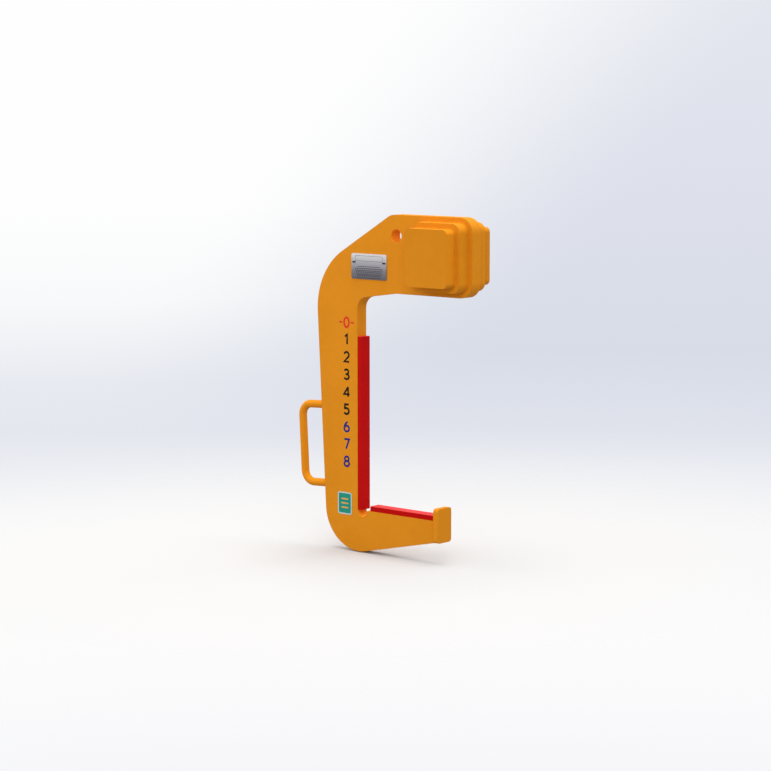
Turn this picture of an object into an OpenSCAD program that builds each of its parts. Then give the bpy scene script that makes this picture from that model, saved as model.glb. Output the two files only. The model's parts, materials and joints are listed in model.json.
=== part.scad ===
// Coil hook: a flame-cut C-shaped plate that lifts slit steel coils by their bore.
// X runs along both arms towards the tip, Y through the plate, away from the front, and Z is up.
// The origin is the centre of the lifting hole, halfway through the plate. Sizes are in millimetres.

/* [Main plate] */
// Thickness of the main plate
plate_t = 32; // [28:1:40]
// From the centre of the lifting hole up to the top edge
top_rise = 49.5; // [44:0.5:60]
// Height of the top arm at its counterweight end
top_arm_h = 183.5; // [175:0.5:200]
// From the lifting hole to the right end of the top arm
arm_end = 223.5; // [215:0.5:260]
// From the lifting hole back to the throat face of the spine
spine_face = 120; // [110:1:130]
// Height of the throat, from the bed of the lower arm to the top arm
throat_h = 523.5; // [480:0.5:600]
// Width of the spine at the top of the throat
spine_w_top = 128; // [120:1:140]
// Width of the spine at the bed of the lower arm
spine_w_bed = 101; // [90:1:115]
// Length of the lower arm, from the throat face to its end
lower_arm_l = 239; // [200:1:300]
// Depth of the lower arm at its end
tip_depth = 51; // [44:1:60]
// Slope of the underside of the lower arm, in degrees
underside_angle = 12.5; // [10:0.5:15]
// How far left of the lifting hole the top edge starts to slope
shoulder_start = 16; // [10:1:24]
// Slope of the edge behind the lifting hole, in degrees
shoulder_angle = 31; // [27:0.5:34]
// How far the roof of the throat falls from under the hole to the spine
haunch_drop = 17; // [10:1:26]

/* [Outline radii] */
// Radius where the top edge meets the slope
shoulder_r = 40; // [25:1:60]
// Radius of the upper back corner
back_r = 160; // [120:1:180]
// Radius of the heel, at the lower back corner
heel_r = 103; // [90:1:120]
// Radius between the roof of the throat and the spine
roof_r = 30; // [20:1:40]
// Radius of the two corners at the counterweight end
end_r = 35; // [32:1:45]

/* [Holes] */
// Diameter of the lifting hole
lift_hole_d = 31; // [28:0.5:34]
// Diameter of the relief hole in the lower corner of the throat
relief_d = 31; // [24:0.5:36]

/* [Counterweight] */
// Thickness of each counterweight plate
weight_t = 32; // [25:1:40]
// Step at both ends from one plate of the stack to the next
weight_step = 12; // [10:0.5:14]
// Step along the top and the bottom from one plate to the next
weight_edge_step = 12.5; // [10:0.5:14]
// Corner radius of the inner counterweight plates
inner_weight_r = 22; // [14:1:30]
// Corner radius of the outer counterweight plates
outer_weight_r = 12; // [8:1:24]
// From the lifting hole to the left end of the inner counterweight plates
weight_start = 66; // [50:1:90]

/* [Handle] */
// Diameter of the handle bar
grip_d = 19; // [16:1:22]
// Distance between the centre lines of the handle's two arms
grip_span = 191; // [150:1:220]
// Finger gap between the spine and the bar
grip_gap = 67; // [50:1:80]
// Bend radius of the handle's centre line
grip_bend_r = 28; // [24:1:34]
// From the underside of the top arm down to the middle of the handle
grip_drop = 377; // [300:1:400]

/* [Pads] */
// Thickness of both pads
pad_t = 12; // [8:1:16]
// Width of both pads
pad_w = 30; // [24:1:32]
// Length of the spine pad, up from the bed
spine_pad_l = 415; // [300:1:440]
// Gap between the relief hole and the arm pad
arm_pad_gap = 8; // [4:1:20]

/* [Tip plate] */
// Thickness of the tip plate
tip_t = 14; // [10:1:20]
// Width of the tip plate, across the hook
tip_w = 50; // [46:1:70]
// Height of the tip plate above the bed
tip_rise = 30.5; // [25:0.5:50]
// Corner radius of the tip plate
tip_r = 8; // [4:1:14]

/* [Welds] */
// Leg of the fillet welds round the counterweight plates
weight_weld = 3; // [2:0.5:6]
// Leg of the fillet welds at the handle and the tip plate
small_weld = 3; // [2:0.5:5]
// Thickness of a weld at its toes
weld_toe = 0.3; // [0.2:0.1:0.5]
// Radius of a weld's hollow face, as a share of its leg
weld_hollow = 1.3; // [1.2:0.05:2]

/* [Nameplate and label] */
// Width of the nameplate
nameplate_w = 108; // [90:1:120]
// Height of the nameplate
nameplate_h = 60; // [50:1:70]
// Thickness of the nameplate
nameplate_t = 1.5; // [1:0.1:3]
// Corner radius of the nameplate
nameplate_r = 5; // [3:0.5:8]
// From the lifting hole back to the middle of the nameplate
nameplate_back = 83; // [78:1:90]
// From the lifting hole down to the middle of the nameplate
nameplate_drop = 75; // [68:1:84]
// Length of each of the nameplate's fixing slots
slot_l = 10; // [8:0.5:12]
// Height of each fixing slot
slot_h = 4; // [3:0.5:5]
// From the end of each slot to the side of the nameplate
slot_margin = 3; // [2:0.5:8]
// Height of the slots above the middle of the nameplate
slot_rise = 9.5; // [0:0.5:12]
// Gap round each rivet in its slot
rivet_play = 0.2; // [0.1:0.05:0.4]
// Height of the rivet heads above the nameplate
rivet_proud = 0.6; // [0.3:0.1:1.5]
// Width of the label on the heel
label_w = 44; // [36:1:50]
// Height of the label
label_h = 54; // [40:1:60]
// Thickness of the label
label_t = 0.6; // [0.4:0.1:1]
// Corner radius of the label
label_r = 6; // [3:0.5:10]
// From the throat face back to the middle of the label
label_back = 40; // [32:1:50]
// Height of the middle of the label above the bed
label_rise = 11; // [0:1:60]

/* [Hidden] */

// Facets of the round surfaces
round_fn = 96;
large_fn = 180;

paint = "darkorange";
weld_paint = "orange";
pad_red = "firebrick";
plate_silver = "silver";
rivet_dark = "dimgray";
label_green = "teal";

// Levels and faces of the main plate
front_y = -plate_t / 2;
top_z = top_rise;
roof_z = top_z - top_arm_h;
bed_z = roof_z - throat_h;
face_x = -spine_face;
tip_x = face_x + lower_arm_l;
tip_low_z = bed_z - tip_depth;

// The back edge leans from the bed to the roof
spine_lean = atan((spine_w_top - spine_w_bed) / throat_h);
back_foot = [face_x - spine_w_bed, bed_z];

// Point where the line through p at angle a meets the line through q at angle b
function meet(p, a, q, b) =
    let (k = ((q.x - p.x) * sin(b) - (q.y - p.y) * cos(b)) / sin(b - a))
    p + k * [cos(a), sin(a)];

// Corners of the outline before they are rounded
shoulder_corner = [-shoulder_start, top_z];
end_top = [arm_end, top_z];
end_low = [arm_end, roof_z];
roof_kink = [0, roof_z];
roof_corner = [face_x, roof_z - haunch_drop];
bed_corner = [face_x, bed_z];
tip_top = [tip_x, bed_z];
tip_low = [tip_x, tip_low_z];
heel_corner = meet(tip_low, underside_angle, back_foot, 90 + spine_lean);
back_corner = meet(shoulder_corner, shoulder_angle, back_foot, 90 + spine_lean);

// The relief hole touches the throat face and is centred on the bed's level
relief_centre = [face_x + relief_d / 2, bed_z];

// Handle: the bar's centre line stands this far off the back edge
grip_reach = grip_gap + grip_d / 2;
grip_z = roof_z - grip_drop;
grip_x = back_foot.x - (grip_z - bed_z) * tan(spine_lean);

// Nameplate and label places on the front face
nameplate_at = [-nameplate_back, -nameplate_drop];
label_at = [face_x - label_back, bed_z + label_rise];

arm_pad_start = face_x + relief_d + arm_pad_gap;

function unit(v) = v / norm(v);

// Rounding of the corner p, with edges towards a and b: half the angle between the edges,
// how far along each edge the arc of radius r starts, and the arc's centre
function corner_half(p, a, b) = acos(unit(a - p) * unit(b - p)) / 2;
function corner_reach(p, a, b, r) = r / tan(corner_half(p, a, b));
function corner_middle(p, a, b) = unit(unit(a - p) + unit(b - p));
function corner_centre(p, a, b, r) = p + corner_middle(p, a, b) * r / sin(corner_half(p, a, b));

// Sliver outside the arc of radius r at the outer corner p.
// It reaches a little past the corner, so that it cuts cleanly.
module corner_sliver(p, a, b, r) {
    past = 2;
    reach = corner_reach(p, a, b, r);
    centre = corner_centre(p, a, b, r);
    difference() {
        polygon([p + unit(a - p) * reach, p - corner_middle(p, a, b) * past,
                 p + unit(b - p) * reach, centre]);
        translate(centre) circle(r, $fn = large_fn);
    }
}

// Upright slab in the plane of the plate, from y0 on, t thick
module slab(y0, t) {
    translate([0, y0 + t, 0])
        rotate([90, 0, 0])
            linear_extrude(height = t)
                children();
}

// Rectangle with round corners about the origin
module round_rectangle(w, h, r) {
    square([w - 2 * r, h], center = true);
    square([w, h - 2 * r], center = true);
    for (sx = [-1, 1])
        for (sy = [-1, 1])
            translate([sx * (w / 2 - r), sy * (h / 2 - r)])
                circle(r, $fn = round_fn);
}

// Cross-section of a fillet weld with a hollow face, its root at the origin
module weld_section(leg) {
    hollow_r = weld_hollow * leg;
    span = leg + weld_toe;
    c = (span + sqrt(span * span - 2 * (leg * leg + weld_toe * weld_toe - hollow_r * hollow_r))) / 2;
    difference() {
        square(leg);
        translate([c, c]) circle(hollow_r, $fn = large_fn);
    }
}

// Fillet weld all round a rectangular plate with round corners, about the origin
module weld_ring(w, h, r, leg) {
    for (k = [0:3]) {
        long = k % 2 == 0 ? w - 2 * r : h - 2 * r;
        off = k % 2 == 0 ? h / 2 : w / 2;
        rotate([0, 0, 90 * k])
            translate([-long / 2, off, 0])
                rotate([90, 0, 90])
                    linear_extrude(height = long)
                        weld_section(leg);
        rotate([0, 0, 90 * k])
            translate([long / 2, off - r, 0])
                rotate_extrude(angle = 90, $fn = round_fn)
                    translate([r, 0])
                        weld_section(leg);
    }
}

// The C-shaped plate with the lifting hole and the relief hole.
// The inner corner under the roof is cut across, then hollowed to its radius.
module hook_plate() {
    roof_reach = corner_reach(roof_corner, roof_kink, bed_corner, roof_r);
    roof_start = roof_corner + unit(roof_kink - roof_corner) * roof_reach;
    roof_foot = roof_corner + unit(bed_corner - roof_corner) * roof_reach;
    color(paint)
        slab(front_y, plate_t)
            difference() {
                polygon([shoulder_corner, end_top, end_low, roof_kink, roof_start, roof_foot,
                         bed_corner, tip_top, tip_low, heel_corner, back_corner]);
                translate(corner_centre(roof_corner, roof_kink, bed_corner, roof_r))
                    circle(roof_r, $fn = round_fn);
                corner_sliver(shoulder_corner, back_corner, end_top, shoulder_r);
                corner_sliver(end_top, shoulder_corner, end_low, end_r);
                corner_sliver(end_low, end_top, roof_kink, end_r);
                corner_sliver(heel_corner, tip_low, back_corner, heel_r);
                corner_sliver(back_corner, heel_corner, shoulder_corner, back_r);
                circle(d = lift_hole_d, $fn = round_fn);
                translate(relief_centre) circle(d = relief_d, $fn = round_fn);
            }
}

// Sizes of the counterweight plate number n, where 1 is the inner one
function weight_left(n) = weight_start + (n - 1) * weight_step;
function weight_right(n) = arm_end - n * weight_step;
function weight_w(n) = weight_right(n) - weight_left(n);
function weight_h(n) = top_arm_h - 2 * n * weight_edge_step;
function weight_r(n) = n == 1 ? inner_weight_r : outer_weight_r;
function weight_centre(n) = [(weight_left(n) + weight_right(n)) / 2, (top_z + roof_z) / 2];
function weight_face(n) = front_y - (n - 1) * weight_t;

module weight_front(n) {
    color(paint)
        slab(weight_face(n) - weight_t, weight_t)
            translate(weight_centre(n))
                round_rectangle(weight_w(n), weight_h(n), weight_r(n));
}

// Weld in the step between counterweight plate n and the plate behind it
module weight_weld_front(n) {
    color(weld_paint)
        translate([weight_centre(n).x, weight_face(n), weight_centre(n).y])
            rotate([90, 0, 0])
                weld_ring(weight_w(n), weight_h(n), weight_r(n), weight_weld);
}

module inner_weight_front() {
    weight_front(1);
}

module inner_weight_rear() {
    mirror([0, 1, 0]) weight_front(1);
}

module outer_weight_front() {
    weight_front(2);
}

module outer_weight_rear() {
    mirror([0, 1, 0]) weight_front(2);
}

module inner_weld_front() {
    weight_weld_front(1);
}

module inner_weld_rear() {
    mirror([0, 1, 0]) weight_weld_front(1);
}

module outer_weld_front() {
    weight_weld_front(2);
}

module outer_weld_rear() {
    mirror([0, 1, 0]) weight_weld_front(2);
}

// Puts its children on the back edge at the handle's middle, with -X square to the edge
module on_back_edge() {
    translate([grip_x, 0, grip_z])
        rotate([0, -spine_lean, 0])
            children();
}

// Round bar bent to a U: two arms, two bends and the grip between them
module handle() {
    arm = grip_reach - grip_bend_r;
    grip = grip_span - 2 * grip_bend_r;
    color(paint)
        on_back_edge() {
            for (side = [-1, 1]) {
                translate([0, 0, side * grip_span / 2])
                    rotate([0, -90, 0])
                        cylinder(d = grip_d, h = arm, $fn = round_fn);
                translate([-arm, 0, side * grip / 2])
                    rotate([90, 0, 0])
                        rotate([0, 0, side > 0 ? 90 : 180])
                            rotate_extrude(angle = 90, $fn = round_fn)
                                translate([grip_bend_r, 0])
                                    circle(d = grip_d, $fn = round_fn);
            }
            translate([-grip_reach, 0, -grip / 2])
                cylinder(d = grip_d, h = grip, $fn = round_fn);
        }
}

module handle_weld(side) {
    color(weld_paint)
        on_back_edge()
            translate([0, 0, side * grip_span / 2])
                rotate([0, -90, 0])
                    rotate_extrude($fn = round_fn)
                        translate([grip_d / 2, 0])
                            weld_section(small_weld);
}

module handle_weld_upper() {
    handle_weld(1);
}

module handle_weld_lower() {
    handle_weld(-1);
}

// Wear pad on the throat face of the spine
module spine_pad() {
    color(pad_red)
        translate([face_x, -pad_w / 2, bed_z])
            cube([pad_t, pad_w, spine_pad_l]);
}

// Wear pad on the bed of the lower arm, up to the tip plate
module arm_pad() {
    color(pad_red)
        translate([arm_pad_start, -pad_w / 2, bed_z])
            cube([tip_x - arm_pad_start, pad_w, pad_t]);
}

// Upright plate across the end of the lower arm
module tip_plate() {
    tip_h = tip_depth + tip_rise;
    color(paint)
        translate([tip_x, 0, tip_low_z + tip_h / 2])
            rotate([90, 0, 90])
                linear_extrude(height = tip_t)
                    round_rectangle(tip_w, tip_h, tip_r);
}

// Weld between the side of the lower arm and the tip plate
module tip_weld_front() {
    color(weld_paint)
        translate([tip_x, front_y, tip_low_z + tip_r])
            rotate([0, 0, 180])
                linear_extrude(height = tip_depth - tip_r)
                    weld_section(small_weld);
}

module tip_weld_rear() {
    mirror([0, 1, 0]) tip_weld_front();
}

// Bar-shaped outline with round ends, for the slots and the rivets in them
module slot(l, h) {
    square([l - h, h], center = true);
    for (sx = [-1, 1])
        translate([sx * (l - h) / 2, 0])
            circle(d = h, $fn = round_fn);
}

module at_slots() {
    for (sx = [-1, 1])
        translate(nameplate_at + [sx * (nameplate_w / 2 - slot_margin - slot_l / 2), slot_rise])
            children();
}

module nameplate() {
    color(plate_silver)
        slab(front_y - nameplate_t, nameplate_t)
            difference() {
                translate(nameplate_at) round_rectangle(nameplate_w, nameplate_h, nameplate_r);
                at_slots() slot(slot_l, slot_h);
            }
}

// Two flat-headed rivets that fill the slots and stand a little proud
module nameplate_rivets() {
    color(rivet_dark)
        slab(front_y - nameplate_t - rivet_proud, nameplate_t + rivet_proud)
            at_slots() slot(slot_l - 2 * rivet_play, slot_h - 2 * rivet_play);
}

module label() {
    color(label_green)
        slab(front_y - label_t, label_t)
            translate(label_at)
                round_rectangle(label_w, label_h, label_r);
}

hook_plate();
inner_weight_front();
inner_weight_rear();
outer_weight_front();
outer_weight_rear();
inner_weld_front();
inner_weld_rear();
outer_weld_front();
outer_weld_rear();
handle();
handle_weld_upper();
handle_weld_lower();
spine_pad();
arm_pad();
tip_plate();
tip_weld_front();
tip_weld_rear();
nameplate();
nameplate_rivets();
label();
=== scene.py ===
# %% [markdown]
# # A coil hook, dressed for its portrait
#
# A coil hook lifts slit steel coils by their bore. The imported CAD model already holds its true
# shapes: the C-shaped plate, the stepped counterweights, the welds, the handle, the pads and the
# plates. This script leaves those solids as they are and adds what paint, print and a welding
# torch leave on them. Every length below is in metres, in the frame of the CAD model: the origin
# is the centre of the lifting hole, X runs towards the tip and Z is up.

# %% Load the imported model
import json
import math
import bmesh
import bpy
from mathutils import Matrix, Vector


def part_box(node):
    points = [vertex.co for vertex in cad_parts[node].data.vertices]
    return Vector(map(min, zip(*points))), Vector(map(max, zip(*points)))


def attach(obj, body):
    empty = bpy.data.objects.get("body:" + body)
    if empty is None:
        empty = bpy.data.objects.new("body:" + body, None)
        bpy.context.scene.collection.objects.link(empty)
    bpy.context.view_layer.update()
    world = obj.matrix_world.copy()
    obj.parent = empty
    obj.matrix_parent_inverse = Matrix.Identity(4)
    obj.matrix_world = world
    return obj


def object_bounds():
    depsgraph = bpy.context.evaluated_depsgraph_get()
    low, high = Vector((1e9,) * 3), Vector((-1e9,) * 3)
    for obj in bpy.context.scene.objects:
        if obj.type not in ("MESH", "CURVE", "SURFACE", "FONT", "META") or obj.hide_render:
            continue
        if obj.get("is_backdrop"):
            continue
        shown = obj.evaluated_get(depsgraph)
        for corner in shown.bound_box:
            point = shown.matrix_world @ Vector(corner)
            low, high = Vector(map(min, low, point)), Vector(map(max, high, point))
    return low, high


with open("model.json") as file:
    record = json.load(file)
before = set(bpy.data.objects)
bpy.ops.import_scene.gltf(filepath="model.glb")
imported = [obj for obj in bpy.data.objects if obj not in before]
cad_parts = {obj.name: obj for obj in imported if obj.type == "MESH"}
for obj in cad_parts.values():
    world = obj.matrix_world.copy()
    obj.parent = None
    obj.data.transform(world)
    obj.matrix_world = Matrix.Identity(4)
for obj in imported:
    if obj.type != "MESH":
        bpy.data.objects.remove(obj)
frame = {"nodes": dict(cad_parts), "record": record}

cad_low, cad_high = (Vector(corner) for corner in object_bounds())
nodes = frame["nodes"]
print("solids:", len(nodes), "box:", [round(v, 4) for v in (*cad_low, *cad_high)])

# %% [markdown]
# Several places are needed again and again: the front face of the plate, the bed of the lower
# arm and the throat face. They are measured on the solids, so the pieces follow the model. The
# floor lies a hair below the heel. From a camera this low, that sets the line where the shadow
# begins to the height it has in the photograph.

# %% Places on the hook
MM = 0.001
FLOOR_GAP = 2.2 * MM
FRONT_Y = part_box("hook_plate")[0].y
BED_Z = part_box("arm_pad")[0].z
FACE_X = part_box("spine_pad")[0].x
FLOOR_Z = cad_low.z - FLOOR_GAP
print("front face", round(FRONT_Y, 4), "bed", round(BED_Z, 4), "throat face", round(FACE_X, 4))

# %% [markdown]
# ## The camera
#
# A photograph fixes its camera once enough corners of the object are known. The eye stands
# 5.4 m away, 40 degrees round to the right and a little above the hook, behind a long lens, so
# upright edges stay nearly parallel. The values were solved from the hook's own corners.

# %% Camera
EYE = Vector((3.45922, -4.15871, 0.34411))
TURN, TILT = 40.13, 82.68
FOCAL_MM, SENSOR_MM = 108.67, 36

lens = bpy.data.cameras.new("portrait_lens")
lens.lens = FOCAL_MM
lens.sensor_width = SENSOR_MM
lens.clip_end = 100
camera = bpy.data.objects.new("portrait_camera", lens)
camera.location = EYE
camera.rotation_euler = (math.radians(TILT), 0, math.radians(TURN))
bpy.context.scene.collection.objects.link(camera)
bpy.context.scene.camera = camera
print("camera to hook", round(EYE.length, 2), "m")

# %% [markdown]
# ## Shader maths in plain Python
#
# A node tree is easier to read as sums. `Wire` wraps one output socket, so that `1 - mask`
# adds a Math node by itself. `Finish` holds one material and adds every other kind of node
# with one method: the node's type, its settings, then the values or wires of its sockets.

# %% Wires and finishes
def linear(red, green, blue):
    """A screen colour from 0 to 255 as the light it stands for."""
    parts = [v / 255 for v in (red, green, blue)]
    return tuple(v / 12.92 if v <= 0.04045 else ((v + 0.055) / 1.055) ** 2.4 for v in parts) + (1.0,)


class Wire:
    """One output socket of a finish, ready for sums."""

    def __init__(self, finish, socket):
        self.finish, self.socket = finish, socket

    def maths(self, operation, *values):
        inputs = dict(enumerate(values))
        return self.finish.node("ShaderNodeMath", {"operation": operation}, inputs)

    def __add__(self, other):
        return self.maths("ADD", self, other)

    def __radd__(self, other):
        return self.maths("ADD", other, self)

    def __sub__(self, other):
        return self.maths("SUBTRACT", self, other)

    def __rsub__(self, other):
        return self.maths("SUBTRACT", other, self)

    def __mul__(self, other):
        return self.maths("MULTIPLY", self, other)

    def __rmul__(self, other):
        return self.maths("MULTIPLY", other, self)

    def __truediv__(self, other):
        return self.maths("DIVIDE", self, other)

    def __abs__(self):
        return self.maths("ABSOLUTE", self)

    def larger(self, other):
        return self.maths("MAXIMUM", self, other)

    def step(self, low, high):
        """0 below low, 1 above high, and a soft rise between them."""
        inputs = {"Value": self, "From Min": low, "From Max": high}
        return self.finish.node("ShaderNodeMapRange", {"interpolation_type": "SMOOTHSTEP"}, inputs)


class Finish:
    """One material, or the world, whose nodes are added by value."""

    def __init__(self, holder):
        holder.use_nodes = True
        self.holder, self.tree = holder, holder.node_tree
        self.tree.nodes.clear()

    def node(self, kind, settings=None, inputs=None, out=0):
        made = self.tree.nodes.new(kind)
        for key, value in (settings or {}).items():
            if key == "stops":
                ramp = made.color_ramp
                while len(ramp.elements) < len(value):
                    ramp.elements.new(1.0)
                for element, (place, colour) in zip(ramp.elements, value):
                    element.position, element.color = place, colour
            else:
                setattr(made, key, value)
        for key, value in (inputs or {}).items():
            if isinstance(value, Wire):
                self.tree.links.new(value.socket, made.inputs[key])
            else:
                made.inputs[key].default_value = value
        return Wire(self, made.outputs[out]) if made.outputs else made

    def mix(self, amount, first, second):
        """A colour between two others: the first at 0 and the second at 1."""
        inputs = {0: amount, 6: first, 7: second}
        return self.node("ShaderNodeMix", {"data_type": "RGBA"}, inputs, out=2)

    def point(self):
        """Object coordinates, in metres."""
        return self.node("ShaderNodeTexCoord", out="Object")

    def split(self, vector):
        """The X, Y and Z of a vector, as three wires."""
        parts = self.node("ShaderNodeSeparateXYZ", {}, {0: vector})
        return [Wire(self, part) for part in parts.socket.node.outputs]

    def noise(self, point, scale, detail=2.0, roughness=0.5):
        """Soft clouds from 0 to 1. At scale 100 one cloud is about 10 mm wide."""
        inputs = {"Vector": point, "Scale": scale, "Detail": detail, "Roughness": roughness}
        return self.node("ShaderNodeTexNoise", {}, inputs)

    def bump(self, height, distance, strength, under=None):
        """Small relief in the normals, on top of the normals under it, if there are any."""
        inputs = {"Height": height, "Distance": distance, "Strength": strength}
        if under is not None:
            inputs["Normal"] = under
        return self.node("ShaderNodeBump", {}, inputs)

    def surface(self, inputs):
        shader = self.node("ShaderNodeBsdfPrincipled", {}, inputs)
        self.node("ShaderNodeOutputMaterial", {}, {"Surface": shader})
        return self.holder


def new_finish(name):
    return Finish(bpy.data.materials.new(name))


def dress(name, material):
    """Puts one finish on a solid of the model."""
    materials = nodes[name].data.materials
    materials.clear()
    materials.append(material)


print("a middle grey on screen is", round(linear(128, 128, 128)[0], 3), "of full light")

# %% [markdown]
# ## Orange enamel
#
# Lifting gear is sprayed with thick machine enamel, here a satin one without sharp highlights.
# It is never quite even: it pools a little, has a fine orange-peel skin, and its colour drifts
# by a few per cent over a large plate. In the two holes the colour is painted brighter, as a
# painted glow for the light that bounces round inside them. The ends of the front outer
# counterweight are painted a shade lighter than its face, a painted highlight for the light those
# exposed ends catch.
# The flame-cut edges are eased before painting. The Bevel node bends the normals there, so the
# edges catch light without a change to the solid.

# %% Enamel for plates, bars and welds
ENAMEL = linear(218, 138, 25)
ENAMEL_DEEP = linear(208, 129, 22)
SPECK = linear(150, 84, 18)
PAINTED_HOLE_GLOW = linear(250, 150, 26)
# The lifting hole, and the relief hole of the same size in the lower corner of the throat.
HOLE_R = frame["record"]["mounts"][0]["dims"]["r_mm"] * MM
HOLES = ((0.0, 0.0), (FACE_X + HOLE_R, BED_Z))


def enamel(name, light=ENAMEL, deep=ENAMEL_DEEP, ease=1.2 * MM, peel=0.3 * MM, holes=(), ends=None):
    finish = new_finish(name)
    point = finish.point()
    x, _, z = finish.split(point)
    drift = finish.noise(point, 7.0, 3.0).step(0.3, 0.7)
    mottle = finish.noise(point, 60.0, 2.0).step(0.25, 0.75)
    colour = finish.mix(drift * 0.4 + mottle * 0.25, light, deep)
    specks = finish.noise(point, 900.0, 1.0).step(0.74, 0.8)
    colour = finish.mix(specks * 0.3, colour, SPECK)
    # Painted light: faces that look along X are mixed towards a lighter colour.
    if ends:
        facing = finish.split(finish.node("ShaderNodeNewGeometry", out="Normal"))[0]
        colour = finish.mix(abs(facing).step(0.5, 0.95), colour, ends)
    # Painted glow: on each hole's wall the colour is mixed towards a brighter one, for bounced light.
    for hole_x, hole_z in holes:
        off_axis = finish.node("ShaderNodeCombineXYZ", {}, {0: x - hole_x, 2: z - hole_z})
        reach = finish.node("ShaderNodeVectorMath", {"operation": "LENGTH"}, {0: off_axis}, out="Value")
        inside = 1 - reach.step(HOLE_R + 0.2 * MM, HOLE_R + 0.6 * MM)
        colour = finish.mix(inside * 0.6, colour, PAINTED_HOLE_GLOW)
    skin = finish.noise(point, 320.0, 2.0, 0.45)
    sag = finish.noise(point, 38.0, 1.0)
    eased = finish.node("ShaderNodeBevel", {"samples": 6}, {"Radius": ease})
    normal = finish.bump(skin + sag * 3.0, peel, 0.6, eased)
    roughness = 0.6 + drift * 0.05 + mottle * 0.04
    return finish.surface({"Base Color": colour, "Roughness": roughness, "Normal": normal,
                           "Specular IOR Level": 0.06})


hook_enamel = enamel("hook_enamel", holes=HOLES)
WEIGHT_COLOURS = linear(211, 133, 23), linear(203, 125, 20)
outer_front_enamel = enamel("outer_front_enamel", *WEIGHT_COLOURS, ends=linear(219, 137, 24))
outer_rear_enamel = enamel("outer_rear_enamel", *WEIGHT_COLOURS)
handle_enamel = enamel("handle_enamel", linear(222, 139, 23), linear(213, 131, 20), 0.4 * MM)
weld_enamel = enamel("weld_enamel", linear(220, 134, 21), linear(206, 120, 17), 0.6 * MM, 0.2 * MM)

for name in ("hook_plate", "tip_plate", "inner_weight_front", "inner_weight_rear"):
    dress(name, hook_enamel)
dress("outer_weight_front", outer_front_enamel)
dress("outer_weight_rear", outer_rear_enamel)
dress("handle", handle_enamel)
welds = [name for name in nodes if "weld" in name]
for name in welds:
    dress(name, weld_enamel)
print("enamelled welds:", len(welds))

# %% [markdown]
# ## Red wear pads
#
# The pads are cast polyurethane strips. They spare the coil's edges, so they are smooth and a
# bit waxy. Long strips carry faint lines from the casting trough, and their arrises are slightly
# round. Each pad's top is painted paler, as painted light from the ceiling lamp.

# %% Pad material
PAINTED_LIT_TOP_RED = linear(214, 46, 46)


def pad_red(name, long_axis, light, deep):
    finish = new_finish(name + "_red")
    point = finish.point()
    height = finish.split(point)[2]
    stretch = (8.0, 260.0, 260.0) if long_axis == "X" else (260.0, 260.0, 8.0)
    along = finish.node("ShaderNodeMapping", {}, {"Vector": point, "Scale": stretch})
    lines = finish.noise(along, 1.0, 2.0)
    cloud = finish.noise(point, 16.0, 3.0).step(0.3, 0.7)
    colour = finish.mix(cloud * 0.5 + lines * 0.2, light, deep)
    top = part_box(name)[1].z
    # Painted light: the top of each pad is mixed towards a paler red, for the light from above.
    lit_top = height.step(top - 0.6 * MM, top - 0.2 * MM)
    colour = finish.mix(lit_top, colour, PAINTED_LIT_TOP_RED)
    eased = finish.node("ShaderNodeBevel", {"samples": 6}, {"Radius": 0.4 * MM})
    normal = finish.bump(lines + finish.noise(point, 500.0) * 0.5, 0.01 * MM, 0.6, eased)
    return finish.surface({"Base Color": colour, "Roughness": 0.4 + cloud * 0.06,
                           "Normal": normal, "Specular IOR Level": 0.03})


PAD_REDS = {"spine_pad": ("Z", linear(189, 12, 12), linear(176, 9, 10)),
            "arm_pad": ("X", linear(183, 11, 11), linear(172, 8, 9))}
for name, colours in PAD_REDS.items():
    dress(name, pad_red(name, *colours))
print("pads:", ", ".join(PAD_REDS))

# %% [markdown]
# ## Nameplate metal, rivets and label film
#
# The nameplate is rolled aluminium, brushed along its length. It mirrors the bright ceiling in
# its upper half and the darker ground in its lower half, and that fall of light is most of
# what the eye reads as metal. It is painted into the colour here, because the studio has no
# dark ground. The brush lines are noise stretched along X.

# %% Nameplate, rivet and label materials
def brushed_plate(name):
    finish = new_finish(name)
    point = finish.point()
    low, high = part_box("nameplate")
    streaks = finish.node("ShaderNodeMapping", {}, {"Vector": point, "Scale": (14, 1, 1900)})
    brush = finish.noise(streaks, 1.0, 3.0)
    height = (finish.split(point)[2] - low.z) / (high.z - low.z)
    stops = [(0.0, linear(82, 81, 90)), (0.3, linear(113, 112, 120)),
             (0.62, linear(162, 161, 166)), (1.0, linear(217, 216, 218))]
    fall = finish.node("ShaderNodeValToRGB", {"stops": stops}, {0: height})
    colour = finish.mix(brush.step(0.3, 0.7) * 0.22, fall, linear(120, 119, 126))
    return finish.surface({"Base Color": colour, "Roughness": 0.36 + brush * 0.16,
                           "Metallic": 0.35, "Specular IOR Level": 0.3,
                           "Normal": finish.bump(brush, 0.03 * MM, 0.5)})


def dull_metal(name, colour, other):
    finish = new_finish(name)
    cloud = finish.noise(finish.point(), 420.0, 3.0)
    return finish.surface({"Base Color": finish.mix(cloud, colour, other),
                           "Roughness": 0.6 + cloud * 0.12, "Metallic": 0.1,
                           "Normal": finish.bump(cloud, 0.05 * MM, 0.6)})


def printed_film(name, colour, other, roughness=0.35, shine=0.25):
    finish = new_finish(name)
    point = finish.point()
    grain = finish.noise(point, 700.0, 2.0)
    fade = finish.noise(point, 45.0, 2.0).step(0.3, 0.7)
    return finish.surface({"Base Color": finish.mix(fade * 0.6 + grain * 0.25, colour, other),
                           "Roughness": roughness + fade * 0.08, "Specular IOR Level": shine,
                           "Normal": finish.bump(grain, 0.02 * MM, 0.5)})


finishes = {
    "nameplate": brushed_plate("brushed_nameplate"),
    "nameplate_rivets": dull_metal("dark_rivet", linear(14, 14, 16), linear(24, 24, 26)),
    "label": printed_film("label_green", linear(2, 142, 122), linear(0, 126, 108)),
}
for name, material in finishes.items():
    dress(name, material)
print("small finishes:", ", ".join(m.name for m in finishes.values()))

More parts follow.
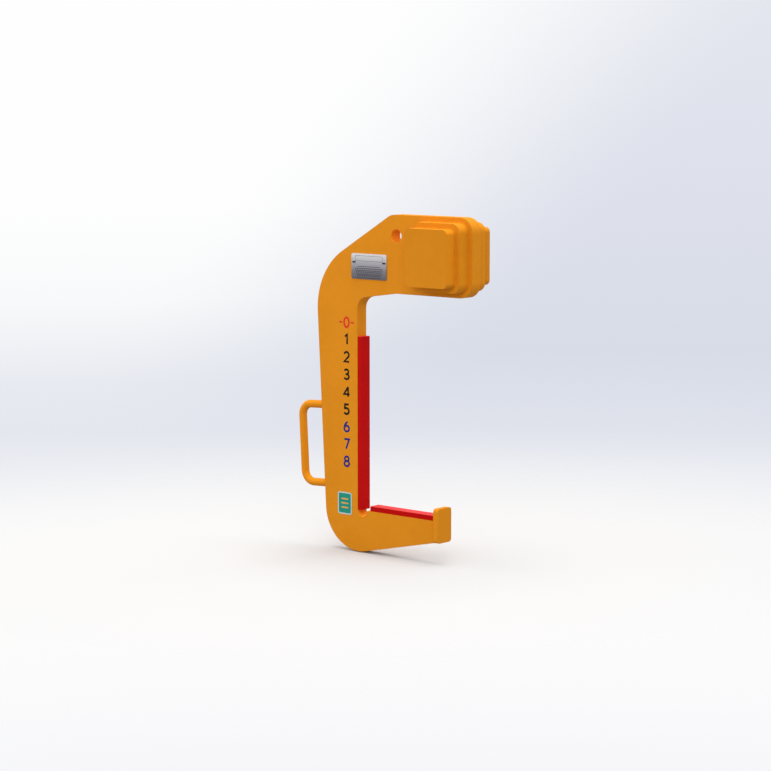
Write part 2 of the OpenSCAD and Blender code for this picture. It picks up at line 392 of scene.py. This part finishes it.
# %% [markdown]
# ## Weld ripples
#
# Each small fillet weld was laid by a moving torch. The pool froze in steps, which left fine
# crescents across the bead, under two millimetres apart. They could be a bump map, but a crescent
# has to turn with the bead at every corner. Geometry Nodes do that by themselves: a crescent is
# set on each point of the weld's path and turned to the path's direction.
#
# The tree takes the path as its own geometry and has named inputs for the sizes. The crescent is
# an arc across the hollow face, bowed along the path, with a thin round section.

# %% A small builder for geometry trees
class Tree:
    """A geometry tree that takes a path and named sizes."""

    def __init__(self, name, sizes):
        self.group = bpy.data.node_groups.new(name, "GeometryNodeTree")
        face = self.group.interface
        face.new_socket("Geometry", in_out="INPUT", socket_type="NodeSocketGeometry")
        self.sockets = {}
        for label, kind in sizes.items():
            self.sockets[label] = face.new_socket(label, in_out="INPUT", socket_type=kind).identifier
        face.new_socket("Geometry", in_out="OUTPUT", socket_type="NodeSocketGeometry")
        self.given = self.group.nodes.new("NodeGroupInput")

    def node(self, kind, settings=None, inputs=None, out=0):
        made = self.group.nodes.new(kind)
        for key, value in (settings or {}).items():
            setattr(made, key, value)
        for key, value in (inputs or {}).items():
            if isinstance(value, bpy.types.NodeSocket):
                self.group.links.new(value, made.inputs[key])
            else:
                made.inputs[key].default_value = value
        return made.outputs[out] if made.outputs else made

    def maths(self, operation, *values):
        return self.node("ShaderNodeMath", {"operation": operation}, dict(enumerate(values)))

    def split(self, vector):
        """The X, Y and Z of a vector."""
        return self.node("ShaderNodeSeparateXYZ", {}, {0: vector}).node.outputs

    def close(self, geometry, material):
        real = self.node("GeometryNodeRealizeInstances", {}, {"Geometry": geometry})
        dressed = self.node("GeometryNodeSetMaterial", {}, {"Geometry": real, "Material": material})
        self.node("NodeGroupOutput", {}, {"Geometry": dressed})


def grown(name, mesh, tree, values, place=Matrix.Identity(4)):
    """Runs a tree on a mesh and returns the result as a plain mesh, put in its place."""
    maker = bpy.data.objects.new(name + "_maker", mesh)
    bpy.context.scene.collection.objects.link(maker)
    modifier = maker.modifiers.new("grow", "NODES")
    modifier.node_group = tree.group
    for label, value in values.items():
        modifier[tree.sockets[label]] = value
    baked = bpy.data.meshes.new_from_object(maker.evaluated_get(bpy.context.evaluated_depsgraph_get()))
    maker.modifiers.remove(modifier)
    bpy.data.objects.remove(maker)
    baked.transform(place)
    baked.name = name
    return baked


print("geometry trees can be grown")

# %% The tree that lays crescents along a path
def ripple_tree():
    sizes = {"Pitch": "NodeSocketFloat", "Hollow Radius": "NodeSocketFloat",
             "Hollow Centre": "NodeSocketFloat", "Arc Start": "NodeSocketFloat",
             "Arc Sweep": "NodeSocketFloat", "Bow": "NodeSocketFloat",
             "Ridge": "NodeSocketFloat", "Seed": "NodeSocketInt"}
    tree = Tree("weld_ripples", sizes)
    given = tree.given.outputs
    path = tree.node("GeometryNodeMeshToCurve", {}, {"Mesh": given["Geometry"]})
    spaced = tree.node("GeometryNodeResampleCurve", {"mode": "LENGTH"},
                       {"Curve": path, "Length": given["Pitch"]})
    arc = tree.node("GeometryNodeCurveArc", {"mode": "RADIUS"},
                    {"Resolution": 6, "Radius": given["Hollow Radius"],
                     "Start Angle": given["Arc Start"], "Sweep Angle": given["Arc Sweep"]})
    share = tree.node("GeometryNodeSplineParameter")
    off_middle = tree.maths("SUBTRACT", tree.maths("MULTIPLY", share, 2.0), 1.0)
    bowed = tree.maths("MULTIPLY", tree.maths("MULTIPLY", off_middle, off_middle), given["Bow"])
    flat = tree.split(tree.node("GeometryNodeInputPosition"))
    upright = tree.node("ShaderNodeCombineXYZ", {},
                        {0: bowed, 1: tree.maths("ADD", flat[0], given["Hollow Centre"]),
                         2: tree.maths("ADD", flat[1], given["Hollow Centre"])})
    stood = tree.node("GeometryNodeSetPosition", {}, {"Geometry": arc, "Position": upright})
    section = tree.node("GeometryNodeCurvePrimitiveCircle", {"mode": "RADIUS"},
                        {"Resolution": 5, "Radius": given["Ridge"]})
    crescent = tree.node("GeometryNodeCurveToMesh", {},
                         {"Curve": stood, "Profile Curve": section, "Fill Caps": True})
    along = tree.node("GeometryNodeInputTangent")
    turned = tree.node("FunctionNodeAlignRotationToVector", {"axis": "X", "pivot_axis": "Z"},
                       {"Vector": along})
    size = tree.node("FunctionNodeRandomValue", {"data_type": "FLOAT"},
                     {2: 0.97, 3: 1.03, "Seed": given["Seed"]}, out=1)
    laid = tree.node("GeometryNodeInstanceOnPoints", {},
                     {"Points": spaced, "Instance": crescent, "Rotation": turned, "Scale": size})
    tree.close(laid, weld_enamel)
    return tree


ripples = ripple_tree()
print("ripple inputs:", ", ".join(ripples.sockets))

# %% [markdown]
# A path is a chain of edges in its own plane. For a ring it runs clockwise, seen from outside,
# so that the weld lies on its left. A weld's hollow face is part of a circle. Its centre and its
# ends follow from the leg and from the thickness at the toes, as they do in the solid.

# %% Paths and sections of the welds
RIPPLE_PITCH, RIPPLE_HEIGHT = 1.8 * MM, 0.13 * MM


def chain(name, points, closed):
    mesh = bpy.data.meshes.new(name)
    count = len(points)
    edges = [(k, (k + 1) % count) for k in range(count if closed else count - 1)]
    mesh.from_pydata([(x, y, 0) for x, y in points], edges, [])
    return mesh


def round_ring(width, height, radius, steps=10):
    """A rectangle with round corners, clockwise."""
    points = []
    for sx, sy, start in ((1, 1, 90), (1, -1, 0), (-1, -1, -90), (-1, 1, -180)):
        for k in range(steps + 1):
            angle = math.radians(start - 90 * k / steps)
            points.append((sx * (width / 2 - radius) + radius * math.cos(angle),
                           sy * (height / 2 - radius) + radius * math.sin(angle)))
    return points


def hollow(leg, toe=0.3 * MM, share=1.3):
    """Radius, centre, start and sweep of the arc across a weld with a hollow face."""
    radius, span = share * leg, leg + toe
    centre = (span + math.sqrt(span ** 2 - 2 * (leg ** 2 + toe ** 2 - radius ** 2))) / 2
    start = math.atan2(toe - centre, leg - centre)
    end = math.atan2(leg - centre, toe - centre)
    return radius, centre, start % math.tau, (end % math.tau) - (start % math.tau)


def bead(name, points, closed, leg, place, seed):
    """The crescents of one weld, as a mesh in its place on the hook."""
    radius, centre, start, sweep = hollow(leg)
    values = {"Pitch": RIPPLE_PITCH, "Hollow Radius": radius, "Hollow Centre": centre,
              "Arc Start": start, "Arc Sweep": sweep, "Bow": -0.22 * leg,
              "Ridge": RIPPLE_HEIGHT, "Seed": seed}
    return grown(name, chain(name + "_path", points, closed), ripples, values, place)


def basis(origin, across, up, away):
    """A matrix whose X, Y and Z are three directions of the hook."""
    columns = [Vector(v).to_4d() for v in (across, up, away, origin)]
    for column, last in zip(columns, (0, 0, 0, 1)):
        column[3] = last
    return Matrix(columns).transposed()


print("hollow of a 3 mm leg:", [round(v, 4) for v in hollow(3 * MM)])

# %% [markdown]
# Several meshes that share a body and a finish become one piece. This helper joins them, gives
# them that finish and hands the piece to its body.

# %% Join meshes into one piece
def piece(name, meshes, material):
    whole = bmesh.new()
    for mesh in meshes:
        whole.from_mesh(mesh)
    for face in whole.faces:
        face.material_index = 0
    joined = bpy.data.meshes.new(name)
    joined.materials.append(material)
    whole.to_mesh(joined)
    whole.free()
    made = bpy.data.objects.new(name, joined)
    bpy.context.scene.collection.objects.link(made)
    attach(made, "root")
    print(name, "faces:", len(joined.polygons))


print("solids that keep their own shape:", len(nodes))

# %% [markdown]
# The ripples must lie on the welds, so everything about a weld is measured on the solids. A
# counterweight's corner radius is where its top edge stops short of its side, and a weld's leg
# is how far it reaches out past the plate.

# %% Ripples round the counterweights
def corner_radius(name):
    """Corner radius of an upright plate, from the end of its top edge."""
    low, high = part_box(name)
    top_edge = [v.co.x for v in nodes[name].data.vertices if v.co.z > high.z - 0.01 * MM]
    return high.x - max(top_edge)


rings = []
for count, level in enumerate(("inner", "outer")):
    low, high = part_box(f"{level}_weight_front")
    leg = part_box(f"{level}_weld_front")[1].x - high.x
    size, middle = high - low, (low + high) / 2
    path = round_ring(size.x, size.z, corner_radius(f"{level}_weight_front"))
    front = basis((middle.x, high.y, middle.z), (1, 0, 0), (0, 0, 1), (0, -1, 0))
    rear = basis((middle.x, -high.y, middle.z), (-1, 0, 0), (0, 0, 1), (0, 1, 0))
    rings.append(bead(f"{level}_front", path, True, leg, front, seed=2 + count))
    rings.append(bead(f"{level}_rear", path, True, leg, rear, seed=6 + count))
    print(level, "weld leg", round(leg / MM, 2), "mm")
piece("weight_weld_ripples", rings, weld_enamel)

# %% [markdown]
# The handle's two welds stand one above the other on the back edge, which leans. The way from
# the lower one to the upper one is the edge's own direction, and their lowest points, measured
# away from the edge, are its surface.

# %% Ripples at the handle and the tip plate
tip_low, tip_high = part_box("tip_weld_front")
small_leg = tip_high.x - tip_low.x
bar_ends = [sum(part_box(f"handle_weld_{end}"), Vector()) / 2 for end in ("upper", "lower")]
edge_up = (bar_ends[0] - bar_ends[1]).normalized()
edge_out = Vector((-edge_up.z, 0, edge_up.x))
turns = [math.tau * k / 48 for k in range(48)]
small = []
for name in ("handle_weld_upper", "handle_weld_lower"):
    outward = [v.co.dot(edge_out) for v in nodes[name].data.vertices]
    upward = [v.co.dot(edge_up) for v in nodes[name].data.vertices]
    foot = edge_out * min(outward) + edge_up * (max(upward) + min(upward)) / 2
    bar = (max(upward) - min(upward)) / 2 - small_leg
    circle = [(bar * math.cos(-t), bar * math.sin(-t)) for t in turns]
    place = basis(foot, (0, 1, 0), edge_up, edge_out)
    small.append(bead(name, circle, True, small_leg, place, seed=11))
run = [(0, 0), (0, tip_high.z - tip_low.z)]
for side, name in ((-1, "tip_front"), (1, "tip_rear")):
    foot = (tip_high.x, side * abs(FRONT_Y), tip_low.z)
    place = basis(foot, (1, 0, 0), (0, 0, 1), (0, side, 0))
    small.append(bead(name, run, False, small_leg, place, seed=13))
piece("small_weld_ripples", small, weld_enamel)
print("small leg", round(small_leg / MM, 2), "bar radius", round(bar / MM, 2), "mm")

# %% [markdown]
# ## Painted scale
#
# A plain scale runs down the spine, in numbers 28 mm high: a red nought with a tick on each
# side, then 1 to 8, five in near-black green and three in blue. A text object would do, but its
# strokes are too fine for lifting gear. So the numbers are drawn as a sign writer paints them,
# with strokes of one width. Paint has a slight thickness, which makes each stroke a very thin
# solid. Its back lies a hair inside the plate, so that no two faces fall together.

# %% Marking paints and strokes
marking_red = printed_film("marking_red", linear(218, 50, 38), linear(204, 44, 34), 0.5, 0.08)
marking_dark = printed_film("marking_dark", linear(6, 20, 12), linear(12, 26, 18), 0.5, 0.08)
marking_blue = printed_film("marking_blue", linear(34, 42, 124), linear(28, 34, 108), 0.5, 0.08)
PAINT_COAT, SUNK = 0.12 * MM, 0.02 * MM
NUMBER_H, NUMBER_W, PEN = 28.2 * MM, 20.2 * MM, 5.0 * MM


def bow(cx, cz, rx, rz, start, end, steps=14):
    """Points along part of an ellipse, between two angles in degrees."""
    turn = [math.radians(start + (end - start) * k / steps) for k in range(steps + 1)]
    return [(cx + rx * math.cos(t), cz + rz * math.sin(t)) for t in turn]


# Each number's strokes, in a box about one wide and one high. A stroke that ends where it
# starts is closed.
STROKES = {
    "0": [bow(0.5, 0.5, 0.5, 0.5, 0, 360, 28)],
    "1": [[(0.18, 0.76), (0.62, 1.0), (0.62, 0.0)]],
    "2": [bow(0.5, 0.7, 0.47, 0.3, 165, -38) + [(0.02, 0.0), (1.0, 0.0)]],
    "3": [bow(0.46, 0.755, 0.42, 0.245, 155, -90) + [(0.3, 0.51)],
          [(0.3, 0.51)] + bow(0.48, 0.255, 0.5, 0.255, 88, -155)],
    "4": [[(0.8, 0.0), (0.8, 1.0)], [(0.8, 1.0), (-0.06, 0.25), (1.1, 0.25)]],
    "5": [[(0.92, 1.0), (0.16, 1.0), (0.08, 0.5)],
          [(0.08, 0.5)] + bow(0.46, 0.31, 0.5, 0.31, 122, -152)],
    "6": [bow(0.5, 0.3, 0.5, 0.3, 0, 360, 24), bow(1.0, 0.3, 1.0, 0.72, 178, 108)],
    "7": [[(0.0, 1.0), (1.0, 1.0), (0.36, 0.0)]],
    "8": [bow(0.5, 0.76, 0.41, 0.24, 0, 360, 20), bow(0.5, 0.27, 0.5, 0.27, 0, 360, 24)],
}


def brushed(work, points, width, depth, coat):
    """Adds one stroke of even width to a bmesh, with mitred bends and closed or square ends."""
    points = [Vector(p) for p in points]
    closed = (points[0] - points[-1]).length < 1e-6
    if closed:
        points.pop()
    count = len(points)
    rows = []
    for k, here in enumerate(points):
        before = points[k - 1] if closed or k > 0 else None
        after = points[(k + 1) % count] if closed or k < count - 1 else None
        pairs = [pair for pair in ((before, here), (here, after)) if None not in pair]
        runs = [(b - a).normalized() for a, b in pairs]
        along = sum(runs, Vector((0, 0))).normalized()
        side = Vector((-along.y, along.x))
        reach = width / 2 / max(0.5, abs(side.dot(Vector((-runs[0].y, runs[0].x)))))
        rows.append([work.verts.new((q.x, y, q.y)) for q in (here + side * reach, here - side * reach)
                     for y in (depth - coat, depth)])
    for k in range(count if closed else count - 1):
        (a, b, c, d), (e, f, g, h) = rows[k], rows[(k + 1) % count]
        for corners in ((a, e, g, c), (b, d, h, f), (a, b, f, e), (c, g, h, d)):
            work.faces.new(corners)
    if not closed:
        work.faces.new([rows[0][k] for k in (0, 2, 3, 1)])
        work.faces.new([rows[-1][k] for k in (1, 3, 2, 0)])


def as_mesh(work, name):
    """Turns a bmesh into a mesh whose faces point outwards."""
    bmesh.ops.recalc_face_normals(work, faces=work.faces)
    mesh = bpy.data.meshes.new(name)
    work.to_mesh(mesh)
    work.free()
    return mesh


def painted(text, middle_x, middle_z):
    """A number on the front face. Its second stroke lies a hair thicker over the first."""
    width, height = NUMBER_W - PEN, NUMBER_H - PEN
    work = bmesh.new()
    for order, stroke in enumerate(STROKES[text]):
        placed = [(middle_x + (x - 0.5) * width, middle_z + (z - 0.5) * height) for x, z in stroke]
        brushed(work, placed, PEN, FRONT_Y + SUNK, PAINT_COAT * (1 + 0.15 * order))
    return as_mesh(work, "number_" + text)


print("paint coat", PAINT_COAT / MM, "mm")

# %% [markdown]
# Bars, ticks, borders and ruled lines are all flat outlines that look to the front, given a
# small thickness. One helper makes them: it takes a closed outline, the depth of its back, its
# thickness and, where it is a frame, the outline of its opening.

# %% Flat shapes that look to the front
def outline(cx, cz, width, height, radius, steps=8):
    """A rectangle with round corners round a centre."""
    points = []
    for sx, sy, start in ((1, 1, 0), (-1, 1, 90), (-1, -1, 180), (1, -1, 270)):
        for k in range(steps + 1):
            angle = math.radians(start + 90 * k / steps)
            points.append((cx + sx * (width / 2 - radius) + radius * math.cos(angle),
                           cz + sy * (height / 2 - radius) + radius * math.sin(angle)))
    return points


def flat_shape(name, outer, depth, thickness, inner=None):
    """A thin solid whose back is at depth and whose front stands thickness proud of it."""
    work = bmesh.new()
    front = [work.verts.new((x, depth - thickness, z)) for x, z in outer]
    back = [work.verts.new((x, depth, z)) for x, z in outer]
    count = len(outer)
    if inner:
        hole_front = [work.verts.new((x, depth - thickness, z)) for x, z in inner]
        hole_back = [work.verts.new((x, depth, z)) for x, z in inner]
    for k in range(count):
        n = (k + 1) % count
        work.faces.new((front[k], front[n], back[n], back[k]))
        if inner:
            work.faces.new((hole_front[n], hole_front[k], hole_back[k], hole_back[n]))
            work.faces.new((front[n], front[k], hole_front[k], hole_front[n]))
            work.faces.new((back[k], back[n], hole_back[n], hole_back[k]))
    if not inner:
        work.faces.new(front)
        work.faces.new(list(reversed(back)))
    return as_mesh(work, name)


print("points round a bar:", len(outline(0, 0, 4 * MM, 2 * MM, MM)))

# %% [markdown]
# The scale hangs on a plumb line 34 mm behind the throat face. Its rows keep an even pitch, and
# only the nought stands a little closer. Dark paint ends at the 5, and blue begins at the 6.

# %% The numbers down the spine
COLUMN_X = FACE_X - 34 * MM
NOUGHT_Z, FIRST_Z, ROW_PITCH = -210.7 * MM, -251.2 * MM, 41.93 * MM
TICK_REACH, TICK_W, TICK_H, TICK_ROUND = 18 * MM, 9.6 * MM, 4 * MM, 0.8 * MM
LAST_DARK = 5
dark, blue = [], []
for value in range(1, 9):
    column = dark if value <= LAST_DARK else blue
    column.append(painted(str(value), COLUMN_X, FIRST_Z - (value - 1) * ROW_PITCH))
red = [painted("0", COLUMN_X, NOUGHT_Z)]
for side in (-1, 1):
    tick = outline(COLUMN_X + side * TICK_REACH, NOUGHT_Z, TICK_W, TICK_H, TICK_ROUND)
    red.append(flat_shape("tick", tick, FRONT_Y + SUNK, PAINT_COAT + SUNK))
piece("scale_dark_numbers", dark, marking_dark)
piece("scale_blue_numbers", blue, marking_blue)
piece("scale_red_nought", red, marking_red)

# %% [markdown]
# ## Engraving on the nameplate
#
# The nameplate has an empty field above, one ruled line, and three rows of cells below, into
# which an owner stamps numbers. Cells repeat, so Geometry Nodes space their upright lines along
# a row. A row needs only its height, its width and its number of cells.

# %% Rows of cells
ENGRAVED = dull_metal("engraved_line", linear(40, 40, 46), linear(60, 59, 66))


def ladder_tree():
    tree = Tree("cell_row", {"Cells": "NodeSocketInt", "Height": "NodeSocketFloat",
                             "Line": "NodeSocketFloat", "Depth": "NodeSocketFloat"})
    given = tree.given.outputs
    path = tree.node("GeometryNodeMeshToCurve", {}, {"Mesh": given["Geometry"]})
    ends = tree.node("GeometryNodeResampleCurve", {"mode": "COUNT"},
                     {"Curve": path, "Count": tree.maths("ADD", given["Cells"], 1)})
    size = tree.node("ShaderNodeCombineXYZ", {},
                     {0: given["Line"], 1: given["Depth"], 2: given["Height"]})
    upright = tree.node("GeometryNodeMeshCube", {}, {"Size": size})
    laid = tree.node("GeometryNodeInstanceOnPoints", {}, {"Points": ends, "Instance": upright})
    tree.close(laid, ENGRAVED)
    return tree


cells = ladder_tree()
name_low, name_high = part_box("nameplate")
NAME_X = (name_low.x + name_high.x) / 2
NAME_TOP, NAME_FACE = name_high.z, name_low.y
CELL, LINE, LINE_ROUND = 5.4 * MM, 1.3 * MM, 0.3 * MM
PROUD, UPRIGHT_DEPTH = 0.06 * MM, 0.16 * MM


def cell_row(z, width, count):
    """One row of cells: upright lines from a geometry tree between two long lines."""
    ends = [(NAME_X - width / 2, NAME_FACE, z), (NAME_X + width / 2, NAME_FACE, z)]
    path = bpy.data.meshes.new("row_path")
    path.from_pydata(ends, [(0, 1)], [])
    values = {"Cells": count, "Height": CELL, "Line": LINE, "Depth": UPRIGHT_DEPTH}
    marks = [grown("cells", path, cells, values)]
    for rise in (-CELL / 2, CELL / 2):
        long = outline(NAME_X, z + rise, width + LINE, LINE, LINE_ROUND, 2)
        marks.append(flat_shape("long", long, NAME_FACE, PROUD))
    return marks


print("cell inputs:", ", ".join(cells.sockets))

# %% Field, ruled line and rows, from the top of the nameplate down
FIELD_DROP, FIELD_W, FIELD_H, FIELD_ROUND = 11.5 * MM, 84 * MM, 13 * MM, 2.4 * MM
FIELD_LINE = 0.7 * MM
RULE_DROP, RULE_W, RULE_H = 30.5 * MM, 68 * MM, 1.2 * MM
CELL_ROWS = ((37.5, 82, 12), (46, 76, 11), (54, 70, 10))

engraving = []
for drop, width, count in CELL_ROWS:
    engraving += cell_row(NAME_TOP - drop * MM, width * MM, count)
rule = outline(NAME_X, NAME_TOP - RULE_DROP, RULE_W, RULE_H, LINE_ROUND, 2)
engraving.append(flat_shape("rule", rule, NAME_FACE, PROUD))
field_z = NAME_TOP - FIELD_DROP
field = outline(NAME_X, field_z, FIELD_W, FIELD_H, FIELD_ROUND)
opening = outline(NAME_X, field_z, FIELD_W - 2 * FIELD_LINE, FIELD_H - 2 * FIELD_LINE,
                  FIELD_ROUND - FIELD_LINE)
engraving.append(flat_shape("field", field, NAME_FACE, PROUD, opening))
piece("nameplate_engraving", engraving, ENGRAVED)

# %% [markdown]
# ## Label near the heel
#
# The label is a green film with a pale border and three gold bars. The print stands a tenth of a
# millimetre proud, which is thicker than ink and still too thin to see from the side.

# %% Label border and bars
pale_print = printed_film("label_border_pale", linear(196, 201, 202), linear(184, 190, 190))
gold_print = printed_film("label_gold", linear(226, 166, 82), linear(212, 150, 70))
LABEL_ROUND, OPENING_ROUND, BORDER = 6 * MM, 3.6 * MM, 3 * MM
BAR_PITCH, BAR_W, BAR_H, BAR_ROUND = 10.5 * MM, 22 * MM, 3.4 * MM, 1.2 * MM
INK = 0.1 * MM

label_low, label_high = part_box("label")
middle, size = (label_low + label_high) / 2, label_high - label_low
border = outline(middle.x, middle.z, size.x, size.z, LABEL_ROUND)
opening = outline(middle.x, middle.z, size.x - 2 * BORDER, size.z - 2 * BORDER, OPENING_ROUND)
edge = flat_shape("edge", border, label_low.y, INK, opening)
bars = []
for step in (-1, 0, 1):
    bar = outline(middle.x, middle.z + step * BAR_PITCH, BAR_W, BAR_H, BAR_ROUND)
    bars.append(flat_shape("bar", bar, label_low.y, INK))
piece("label_edge", [edge], pale_print)
piece("label_bars", bars, gold_print)

# %% [markdown]
# ## Studio
#
# The hook stands over a pale floor that has no visible end. The floor is a disc whose colour
# fades out into the background. Light comes softly from all round, most of it from above, so
# that top edges glow and undersides fall to brown. The pale background is only what the camera
# and the gloss see, and it puts no more light on the hook. It falls off into blue grey towards
# one side, so one ramp by height is mixed with another across the view.

# %% World
world = bpy.data.worlds.new("studio")
bpy.context.scene.world = world
sky = Finish(world)
direction = sky.node("ShaderNodeTexCoord", out="Generated")
up = sky.split(direction)[2]
turn = math.radians(TURN)
to_right = (math.cos(turn), math.sin(turn), 0)
rightward = sky.node("ShaderNodeVectorMath", {"operation": "DOT_PRODUCT"},
                     {0: direction, 1: to_right}, out="Value")
RAMP_LOW, RAMP_SPAN = -0.32, 0.40


def height_ramp(pairs):
    """Background colours by the height of the view: 0 is level, and -1 is straight down."""
    stops = [((height - RAMP_LOW) / RAMP_SPAN, linear(*colour)) for height, colour in pairs]
    return sky.node("ShaderNodeValToRGB", {"stops": stops}, {0: (up - RAMP_LOW) / RAMP_SPAN})


open_side = height_ramp([(-0.30, (246, 247, 249)), (-0.235, (253, 253, 253)), (-0.188, (250, 250, 251)),
                         (-0.163, (236, 238, 243)), (-0.146, (229, 231, 239)), (-0.125, (232, 234, 241)),
                         (-0.091, (248, 249, 250)), (-0.05, (254, 254, 254))])
dusk_side = height_ramp([(-0.30, (245, 245, 248)), (-0.235, (253, 252, 253)), (-0.188, (250, 250, 251)),
                         (-0.163, (236, 238, 243)), (-0.146, (224, 227, 236)), (-0.112, (215, 220, 231)),
                         (-0.05, (221, 224, 235)), (0.04, (227, 230, 238))])
shade = (rightward - up * 0.84).step(-0.035, 0.15)
backdrop = sky.mix(shade, open_side, dusk_side)

ambient_level = sky.node("ShaderNodeMapRange", {}, {"Value": up, "From Min": -1.0, "From Max": 1.0,
                                                    "To Min": 0.19, "To Max": 1.2})
rays = sky.node("ShaderNodeLightPath").socket.node.outputs
camera_ray, glossy_ray, clear_ray = (
    Wire(sky, rays[f"Is {kind} Ray"]) for kind in ("Camera", "Glossy", "Transmission"))
seen = camera_ray.larger(glossy_ray).larger(clear_ray)
shown = sky.node("ShaderNodeBackground", {}, {"Color": backdrop, "Strength": 1.0})
light = sky.node("ShaderNodeBackground", {},
                 {"Color": (1.0, 0.995, 0.99, 1.0), "Strength": ambient_level})
both = sky.node("ShaderNodeMixShader", {}, {0: seen, 1: light, 2: shown})
sky.node("ShaderNodeOutputWorld", {}, {"Surface": both})
print("world nodes:", len(sky.tree.nodes))

# %% [markdown]
# The floor sees the same light as the hook. For the camera it is nearly white, and for light
# that bounces off it, it is darker, so that it doesn't flood the undersides. It is a little
# see-through: 2% under the heel, 22% from 0.4 m away, and wholly from 1.8 m. That keeps the
# shadow dark at the heel and soft elsewhere. Its underside is clear, so that the hook can be
# looked at from below.

# %% Floor
HEEL_X = FACE_X - 70 * MM


def floor_disc(radius=2.4, spokes=64):
    work = bmesh.new()
    bmesh.ops.create_circle(work, cap_ends=True, radius=radius, segments=spokes)
    mesh = bpy.data.meshes.new("studio_floor")
    work.to_mesh(mesh)
    work.free()
    mesh.transform(Matrix.Translation((0, 0, FLOOR_Z)))
    made = bpy.data.objects.new("studio_floor", mesh)
    bpy.context.scene.collection.objects.link(made)
    return made


ground = new_finish("pale_floor")
x, y, _ = ground.split(ground.point())
from_heel = ground.node("ShaderNodeCombineXYZ", {}, {0: x - HEEL_X, 1: y})
distance = ground.node("ShaderNodeVectorMath", {"operation": "LENGTH"}, {0: from_heel}, out="Value")
diffuse_ray = ground.node("ShaderNodeLightPath", out="Is Diffuse Ray")
tone = ground.mix(diffuse_ray, (0.56, 0.555, 0.555, 1.0), (0.34, 0.335, 0.33, 1.0))
matt = ground.node("ShaderNodeBsdfDiffuse", {}, {"Color": tone})
clear = ground.node("ShaderNodeBsdfTransparent")
fade = 0.02 + distance.step(0.05, 0.4) * 0.2 + distance.step(0.4, 1.8) * 0.78
from_below = ground.node("ShaderNodeNewGeometry", out="Backfacing")
faded = ground.node("ShaderNodeMixShader", {}, {0: fade.larger(from_below), 1: matt, 2: clear})
ground.node("ShaderNodeOutputMaterial", {}, {"Surface": faded})
studio_floor = floor_disc()
studio_floor.data.materials.append(ground.holder)
studio_floor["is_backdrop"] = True
print("floor level", round(FLOOR_Z, 4))

# %% [markdown]
# Large soft lamps give the light a direction: a wide ceiling light for the tops, lamps on the
# right and the left for the front, the ends and the inner faces, and a weak one for the rear.
# Their strengths were found by rendering each lamp alone and matching the sum to the hook's faces.

# %% Lamps
LAMP_COLOUR = (1.0, 0.995, 0.985)


def soft_lamp(name, place, aim, size, watts):
    """A square lamp that is turned to the point it lights."""
    lamp = bpy.data.lights.new(name, "AREA")
    lamp.shape, lamp.size, lamp.size_y = "RECTANGLE", size, size
    lamp.energy, lamp.color = watts, LAMP_COLOUR
    holder = bpy.data.objects.new(name, lamp)
    holder.location = place
    holder.rotation_euler = (Vector(aim) - Vector(place)).to_track_quat("-Z", "Y").to_euler()
    bpy.context.scene.collection.objects.link(holder)


soft_lamp("ceiling_light", (0.1, 0.2, 2.9), (0, 0, -0.4), 2.2, 72)
soft_lamp("right_light", (2.45, -2.95, 2.25), (0, 0, -0.3), 1.8, 51)
soft_lamp("left_light", (-3.4, -2.0, 1.2), (0, 0, -0.3), 1.8, 29)
soft_lamp("left_end_light", (-3.9, -0.7, 1.0), (0, 0, -0.3), 1.8, 15)
soft_lamp("rear_light", (0.3, 3.8, 1.4), (0, 0, -0.3), 1.8, 14)

# %% [markdown]
# ## View and size
#
# The Standard view shows a colour as it is written, without a film curve. The boxes of the
# solids and of the dressed hook are kept side by side, because dressing must not change the
# hook's size.

# %% View settings
bpy.context.scene.view_settings.view_transform = "Standard"
print("view:", bpy.context.scene.view_settings.view_transform)

# %% Keep both boxes
low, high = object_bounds()
